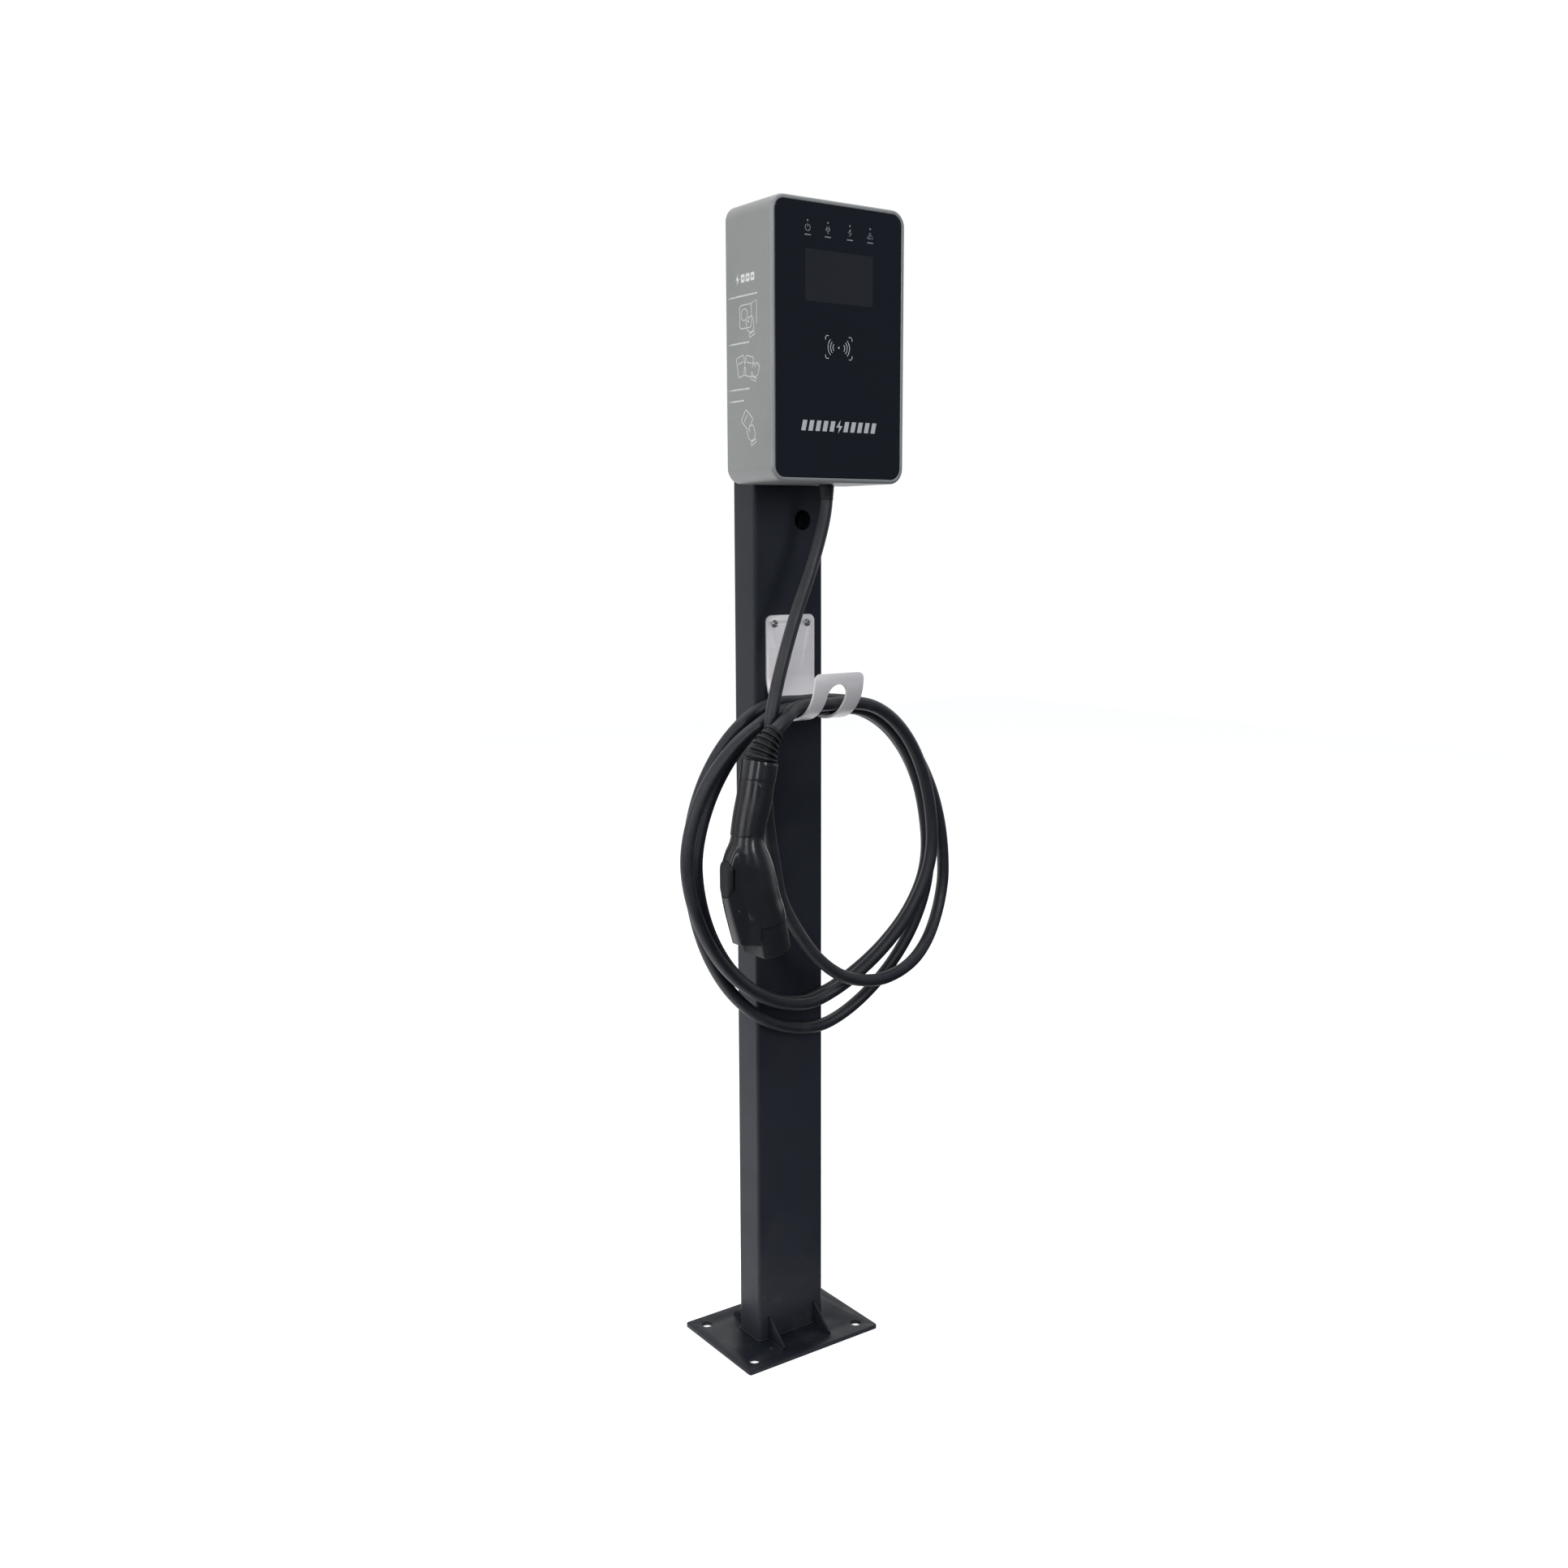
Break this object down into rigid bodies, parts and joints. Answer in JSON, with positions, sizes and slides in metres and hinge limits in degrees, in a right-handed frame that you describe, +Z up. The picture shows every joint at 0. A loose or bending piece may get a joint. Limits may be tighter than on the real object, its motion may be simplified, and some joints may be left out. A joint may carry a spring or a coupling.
{
  "type": "ev charging post",
  "caption": "Electric vehicle charging post: steel tube on a foot plate, box-shaped charger with dark glass panel, cable hook, looped charging cable and plug with sprung latch.",
  "frame": {"origin": "centre of the foot plate's underside, on the ground", "axes": "+Z up along the post, the charger's panel faces -Y, +X to the right of someone facing the panel"},
  "size_m": [0.4128, 0.2195, 1.385],
  "materials": {
    "post_paint": "semi-gloss dark blue-grey powder coat on steel",
    "housing_silver": "satin silver-grey paint",
    "panel_glass": "glossy near-black front panel with pale printed pictograms",
    "black_plastic": "semi-gloss moulded black plastic",
    "soft_rubber": "matte black rubber",
    "cable_jacket": "matte black-blue cable jacket",
    "stainless": "satin stainless sheet",
    "zinc_steel": "zinc-plated steel",
    "board_green": "green circuit board",
    "dark_component": "dark moulded component",
    "contact_silver": "silver-plated contact sleeve"
  },
  "bodies": {
    "root": {"base_plate": "post_paint", "base_gusset_1": "post_paint", "base_gusset_2": "post_paint", "base_gusset_3": "post_paint", "base_gusset_4": "post_paint", "post_tube": "post_paint", "housing_shell": "housing_silver", "rear_cover": "housing_silver", "front_panel": "panel_glass", "post_cap": "black_plastic", "supply_conduit": "black_plastic", "gland_body": "black_plastic", "gland_nut": "black_plastic", "handle_front_shell": "black_plastic", "handle_rear_shell": "black_plastic", "connector_nose": "black_plastic", "latch_cover": "black_plastic", "panel_gasket": "soft_rubber", "gland_sleeve": "soft_rubber", "cable_boot": "soft_rubber", "grip_insert": "soft_rubber", "charging_cable": "cable_jacket", "cable_hook": "stainless", "hook_screw_1": "stainless", "hook_screw_2": "stainless", "mounting_bracket": "zinc_steel", "latch_pin": "zinc_steel", "latch_spring": "zinc_steel", "mounting_screw_1": "zinc_steel", "mounting_screw_2": "zinc_steel", "mounting_screw_3": "zinc_steel", "mounting_screw_4": "zinc_steel", "cover_screw_1": "zinc_steel", "cover_screw_2": "zinc_steel", "cover_screw_3": "zinc_steel", "cover_screw_4": "zinc_steel", "board_standoff_1": "zinc_steel", "board_standoff_2": "zinc_steel", "board_standoff_3": "zinc_steel", "board_standoff_4": "zinc_steel", "main_board": "board_green", "card_reader_board": "board_green", "power_relay": "dark_component", "leakage_sensor": "dark_component", "terminal_block": "dark_component", "display_module": "dark_component", "indicator_light_bar": "dark_component", "contact_carrier": "dark_component", "contact_1": "contact_silver", "contact_2": "contact_silver", "contact_3": "contact_silver", "contact_4": "contact_silver", "contact_5": "contact_silver", "contact_6": "contact_silver", "contact_7": "contact_silver"},
    "button": {"release_button": "black_plastic"},
    "lever": {"latch_lever": "dark_component"}
  },
  "joints": [
    {"name": "button_press", "type": "slide", "parent": "root", "child": "button", "axis": [1, 0, 0], "range_m": [0, 0.003], "stiffness_N_per_m": 900},
    {"name": "lever_rock", "type": "hinge", "parent": "root", "child": "lever", "pos_m": [-0.1455, -0.116, 0.604], "axis": [0, 1, 0], "range_deg": [0, 5.2], "stiffness_Nm_per_rad": 0.4}
  ],
  "couplings": [
    {"joint": "lever_rock", "follows": "button_press", "rad_per_m": 29}
  ]
}
